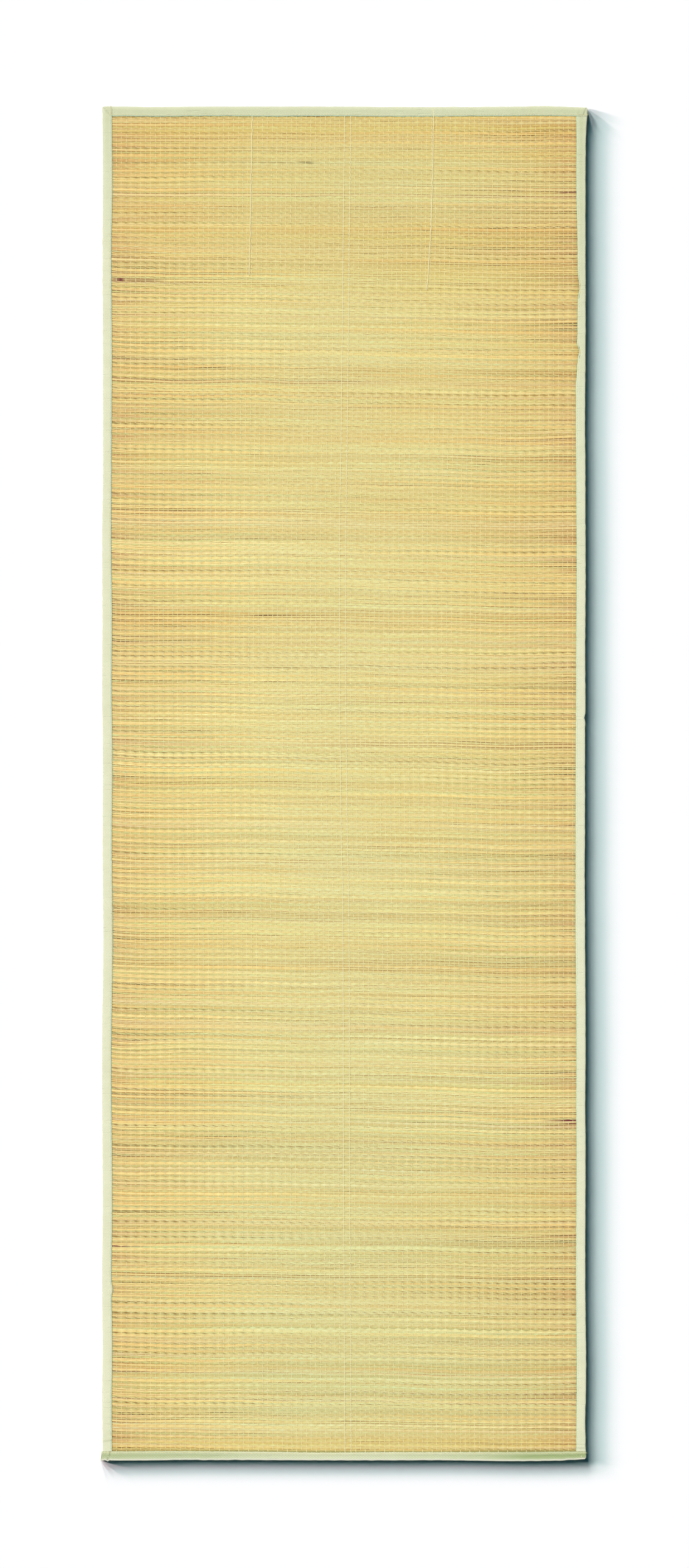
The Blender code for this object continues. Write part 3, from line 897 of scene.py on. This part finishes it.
def buildTape(name, side, seed):
    node = f"binding_{name}"
    places, outerLine, innerLine, start, end = tapeLines(node, side)
    start, end = start + side["ends"][0], end + side["ends"][1]
    stations = stationsAlong(start, end)
    outer, inner = edgeLines(side, seed, stations, places, outerLine, innerLine)
    fromEnds = (stations - start, end - stations)
    closedEnds = [gap for isClosed, gap in zip(side["closed"], fromEnds) if isClosed]
    radius = tape["rounding"]
    for gap in closedEnds:
        short = radius - np.clip(gap, 0, radius)
        outer -= radius - np.sqrt(radius ** 2 - short ** 2)
    share, shift, height, give = (np.array(column) for column in zip(*side["section"]))
    across = outer[:, None] + (inner - outer)[:, None] * share + shift
    roundPucker = 0.6 + 0.4 * rumple(share * 0.01 + shift, seed + 3, 2, 0.01, 0.03)
    pucker = rumple(stations, seed + 2, 7, 0.007, 0.03)[:, None] * roundPucker
    high = height + tape["pucker"] * pucker * give
    torn = side["torn"] * np.exp(-fromEnds[0] / 0.001)[:, None] * (share < 0.3)
    along = np.repeat(stations[:, None], len(share), axis=1) - torn
    shade = pressFolds(side, across, along, high, give)
    for gap in closedEnds:
        rise = np.sqrt(1 - (1 - np.clip(gap / tape["endRounding"], 0.02, 1)) ** 2)[:, None]
        high = tape["middle"] + (high - tape["middle"]) * rise
    high = np.maximum(high, 0.00001)
    x, y = inPlan(side, across, along)
    mesh = loft(f"tape_{name}", np.stack([x, y, high], 2), cloth)
    mesh.set_sharp_from_angle(angle=math.radians(tape["crispAngle"]))

    inward = (outer[:, None] - across) / (outer - inner)[:, None]
    sunk = np.exp(-((inward - 0.52) / 0.28) ** 2)  # the hollow between the seam and the fold, where the drab tint is stronger as painted shade
    lip = np.exp(-((inward - 0.1) / 0.08) ** 2) * (give > 0.1)
    drab = np.interp(stations, *zip(*side["drab"]))[:, None]
    slant = across * side["outward"] * (1 if side["axis"] else -1)
    layers = {
        "crease": shade,
        "inward": inward,
        "drab": drab * (0.45 + 0.55 * sunk),
        "ribbed": side["ribbed"] * (0.6 + 0.4 * sunk),
        "lip": side["lip"] * lip,
        "diagonal": along + slant,  # the two directions of the twill
        "counter": along - slant,
    }
    for key, values in layers.items():
        layer = mesh.attributes.new(key, "FLOAT", "POINT")
        layer.data.foreach_set("value", values.reshape(-1).astype(np.float32))
    mapTape(mesh, len(stations), len(share))
    piece = addObject(f"tape_{name}", mesh)
    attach(piece, "root")
    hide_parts(node)
    end - start
    x, y = inPlan(side, inner + tape["seam"], stations)
    return piece, np.stack([x, y, np.full(len(stations), tape["seamHeight"])], 1)


def mapTape(mesh, count, ring):  # the tape's own map: cut into lengths that lie above each other
    corner = np.empty(len(mesh.loops), np.int32)
    mesh.loops.foreach_get("vertex_index", corner)
    station, position = corner // ring, corner % ring
    starts = [face.loop_start for face in mesh.polygons]
    corners = [face.loop_total for face in mesh.polygons]

    def ofFace(pick, values):  # the least or the greatest value on each corner's face
        return np.repeat(pick.reduceat(values, starts), corners)

    perRow = -(-count // tape["mapRows"])
    cut = ofFace(np.minimum, station) // perRow
    wraps = (ofFace(np.maximum, position) - ofFace(np.minimum, position) > 1) & (position == 0)
    u = (station - cut * perRow) / perRow
    v = (cut + (position + ring * wraps + 0.1) / (ring + 0.3)) / tape["mapRows"]
    layer = mesh.uv_layers.new(name="OFBake")
    layer.data.foreach_set("uv", np.stack([u, v], 1).reshape(-1).astype(np.float32))


stitch = {
    "pitch": 0.0035,
    "length": 0.0024,
    "thickness": 0.00042,
    "lean": 0.1,
    "seed": 5,
}


def stitchTree():
    g, size = geometryGraph("stitchRow", stitch)
    curve = g.add("GeometryNodeMeshToCurve", {"Mesh": size.Geometry})
    sockets = {"Curve": curve, "Length": size.pitch}
    spaced = g.add("GeometryNodeResampleCurve", sockets, mode="LENGTH")
    points = g.add("GeometryNodeCurveToPoints", {"Curve": spaced}, mode="EVALUATED")
    sockets = {"Vertices": 4, "Radius": 0.5, "Depth": 1.0}
    dash = g.add("GeometryNodeMeshCylinder", sockets, fill_type="TRIANGLE_FAN")
    lean = (chance(g, g.add("GeometryNodeInputIndex"), size.seed) - 0.5) * size.lean
    turn = g.add("FunctionNodeAlignRotationToVector", {"Vector": points.sibling("Tangent")}, axis="Z")
    sockets = {"Rotation": turn, "Rotate By": g.combine(0.0, lean, 0.0)}
    turn = g.add("FunctionNodeRotateRotation", sockets)
    scale = g.combine(size.thickness, size.thickness, size.length)
    sockets = {"Points": points, "Instance": dash, "Rotation": turn, "Scale": scale}
    placed = g.add("GeometryNodeInstanceOnPoints", sockets)
    whole = g.add("GeometryNodeRealizeInstances", {"Geometry": placed})
    return finishTree(g, whole, size.material)


def lineMesh(name, points):
    mesh = bpy.data.meshes.new(name)
    mesh.from_pydata(points.tolist(), [(i, i + 1) for i in range(len(points) - 1)], [])
    return mesh


# loose threads

looseThread = {
    "width": 0.001,
    "thickness": 0.00028,
    "sides": 8,
    "step": 0.0016,
    "smoothing": 9,  # steps over which the route's corners are rounded; odd
    "sway": 0.00025,
    "ripple": 0.00004,  # in height
}
looseRoutes = {  # x, y and height at the ends and the turns of each thread
    "left": [
        (-0.1161, 0.84, 0.00215), (-0.1161, 0.837, 0.00232), (-0.1165, 0.79, 0.00232),
        (-0.1175, 0.742, 0.00232), (-0.1188, 0.67, 0.00232), (-0.1197, 0.638, 0.00232),
    ],
    "right": [
        (0.1112, 0.8472, 0.00318), (0.1121, 0.841, 0.00316), (0.1121, 0.8365, 0.00232),
        (0.1112, 0.788, 0.00232), (0.1092, 0.709, 0.00232), (0.106, 0.655, 0.00232),
        (0.1038, 0.619, 0.00232),
    ],
}


def buildLooseThread(name, stops):
    stops = np.array(stops)
    lengths = np.concatenate([[0], np.cumsum(np.linalg.norm(np.diff(stops, axis=0), axis=1))])
    steps = np.arange(0, lengths[-1], looseThread["step"])
    width, thickness, size = (looseThread[key] for key in ("width", "thickness", "smoothing"))
    smooth = np.hanning(size) / np.hanning(size).sum()
    path = np.stack([np.interp(steps, lengths, stops[:, axis]) for axis in range(3)], 1)
    for axis in range(3):
        padded = np.pad(path[:, axis], size // 2, mode="reflect", reflect_type="odd")
        path[:, axis] = np.convolve(padded, smooth, "valid")
    path[:, 0] += looseThread["sway"] * rumple(steps, 31, 4, 0.012, 0.06)
    path[:, 2] += looseThread["ripple"] * rumple(steps, 33, 3, 0.009, 0.03)
    turn = np.arange(looseThread["sides"]) * (2 * math.pi / looseThread["sides"])
    ring = np.stack([np.cos(turn) * width, turn * 0, np.sin(turn) * thickness], 1) / 2
    piece = addObject(name, loft(name, path[:, None] + ring, looseFinish))
    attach(piece, "root")
    return piece


# stage

stage = {
    "reach": 30.0,  # half the floor's side
    "drop": 0.0002,  # how far the floor lies below the mat
    "grey": 0.84,
    "worldLight": 0.004,  # where the camera doesn't look
    "photoRows": 2576,
    "pixel": 0.00076473,  # metres on the mat
    "aim": (0.0001, -0.0002),  # the place in the middle of the photo
    "lens": 85,  # mm, as is the sensor
    "sensor": 36,
}
# the lights that shape the shadow: strength, height, bearing and softness in degrees, tint
lowLights = [
    (8.6, 4.5, 145, 3.2, (1, 0.67, 0.73)), (8.5, 4.5, 165, 3.2, (1, 0.67, 0.73)),
    (3.95, 6.5, 105, 4.5, (1, 0.84, 0.87)), (3.95, 6.5, 125, 4.5, (1, 0.84, 0.87)),
    (2.95, 6.5, 165, 4.5, (1, 0.84, 0.87)), (1.45, 9.5, 105, 6.5, (0.69, 0.98, 0.9)),
    (4.05, 9.5, 125, 6.5, (0.69, 0.98, 0.9)), (1.3, 9.5, 145, 6.5, (0.69, 0.98, 0.9)),
    (2.8, 9.5, 165, 6.5, (0.69, 0.98, 0.9)), (0.83, 14, 105, 9, (0.4, 0.92, 1)),
]


def buildFloor():
    reach, drop, grey = stage["reach"], stage["drop"], stage["grey"]
    corners = [(x * reach, y * reach, -drop) for x, y in ((-1, -1), (1, -1), (1, 1), (-1, 1))]
    mesh = bpy.data.meshes.new("floor")
    mesh.from_pydata(corners, [], [(0, 1, 2, 3)])
    material, _, inputs = newMaterial("floorFinish", 0.9)
    inputs["Base Color"].default_value = (grey, grey, grey, 1)
    inputs["Specular IOR Level"].default_value = 0.0
    mesh.materials.append(material)
    item = addObject("floor", mesh)
    return item


def addSun(name, strength, elevation, bearing, softness, tint, receivers):
    # bearing is where the light comes from, in degrees from +X towards +Y
    light = bpy.data.lights.new(name, "SUN")
    light.energy = strength
    light.angle = math.radians(softness)
    light.color = tint
    sun = addObject(name, light)
    sun.rotation_euler = (0, math.radians(90 - elevation), math.radians(bearing))
    sun.light_linking.receiver_collection = receivers


print("helpers ready")
straw = strawMaterial()
thread = threadMaterial("threadFinish", colour(237, 225, 160), colour(247, 238, 185))
paleThread = threadMaterial("paleThreadFinish", colour(242, 232, 172), colour(250, 243, 196))
looseFinish = threadMaterial("looseThreadFinish", colour(255, 242, 188), colour(255, 249, 204))
cloth = tapeMaterial()

strawGraph = strawTree()
straws = []
for part in range(strawSizes["parts"]):
    straws.append(grow(f"straw_weft_{part + 1}", strawGraph, {"part": part}, straw))
for name, marks in {"split": paintedSplitShades, "blackened": blackened, "reddened": reddened}.items():
    markStraws(straws, name, marks)
print("straws woven:", [len(item.data.polygons) for item in straws])

threadGraph = threadTree()
middle = {"skipMiddle": 0, "float": 1.0, "threadLift": 0.00064, "threadWidth": 0.0009}
threads = [
    grow("warp_threads_left", threadGraph, {"first": 0, "last": 47}, thread),
    grow("warp_threads_right", threadGraph, {"first": 48, "last": 95}, thread),
    grow("warp_middle_left", threadGraph, {"first": 47, "last": 47, **middle}, paleThread),
    grow("warp_middle_right", threadGraph, {"first": 48, "last": 48, **middle, "sway": 0.0008}, paleThread),
]
print("warps threaded:", [len(item.data.polygons) for item in threads])

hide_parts("straw_panel")
for slot, pieces in {"straw": straws, "thread": threads}.items():
    for item in pieces:
        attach(item, "root")

tapes, rows = {}, {}
for number, (name, side) in enumerate(tapeSides.items()):
    tapes[name], rows[name] = buildTape(name, side, 40 + 7 * number)
print("tapes folded:", [len(piece.data.polygons) for piece in tapes.values()])

stitchGraph = stitchTree()
stitches = []
for name, row in rows.items():
    stitches.append(grow(f"stitches_{name}", stitchGraph, {}, thread, lineMesh(f"row_{name}", row)))
    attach(stitches[-1], "root")
print("stitches sewn:", [len(piece.data.polygons) for piece in stitches])

loose = [buildLooseThread(f"loose_thread_{name}", stops) for name, stops in looseRoutes.items()]
print("loose threads laid")

floor = buildFloor()
matGroup = bpy.data.collections.new("matLightReceivers")
floorGroup = bpy.data.collections.new("floorLightReceivers")
floorGroup.objects.link(floor)
for item in straws + threads + list(tapes.values()) + stitches + loose:
    matGroup.objects.link(item)

addSun("softOverhead", 2.265, 80, 135, 120, (0.995, 1, 0.995), matGroup)
addSun("floorFill", 0.125, 80, 135, 120, (0, 0.72, 1), floorGroup)
addSun("upperLeft", 1.2, 42, 125, 14, (1, 0.98, 0.95), matGroup)
for number, light in enumerate(lowLights):
    addSun(f"floorLight{number}", *light, floorGroup)

world = bpy.data.worlds.new("studio")
bpy.context.scene.world = world
world.use_nodes = True
g = Graph(world.node_tree)
# white for the camera, nearly no light for the rest
seen = g.add("ShaderNodeLightPath", out="Is Camera Ray")
sky = world.node_tree.nodes["Background"]
connect(g, stage["worldLight"] + (1 - stage["worldLight"]) * seen, sky.inputs["Strength"])
sky.inputs["Color"].default_value = (1, 1, 1, 1)

view = bpy.context.scene.view_settings
view.view_transform = "Standard"
view.look = "None"

lens = bpy.data.cameras.new("camera")
lens.lens = stage["lens"]
lens.sensor_width = stage["sensor"]
lens.clip_start, lens.clip_end = 0.1, 50
camera = addObject("camera", lens)
frameHeight = stage["photoRows"] * stage["pixel"]
camera.location = (*stage["aim"], frameHeight * lens.lens / lens.sensor_width)
bpy.context.scene.camera = camera
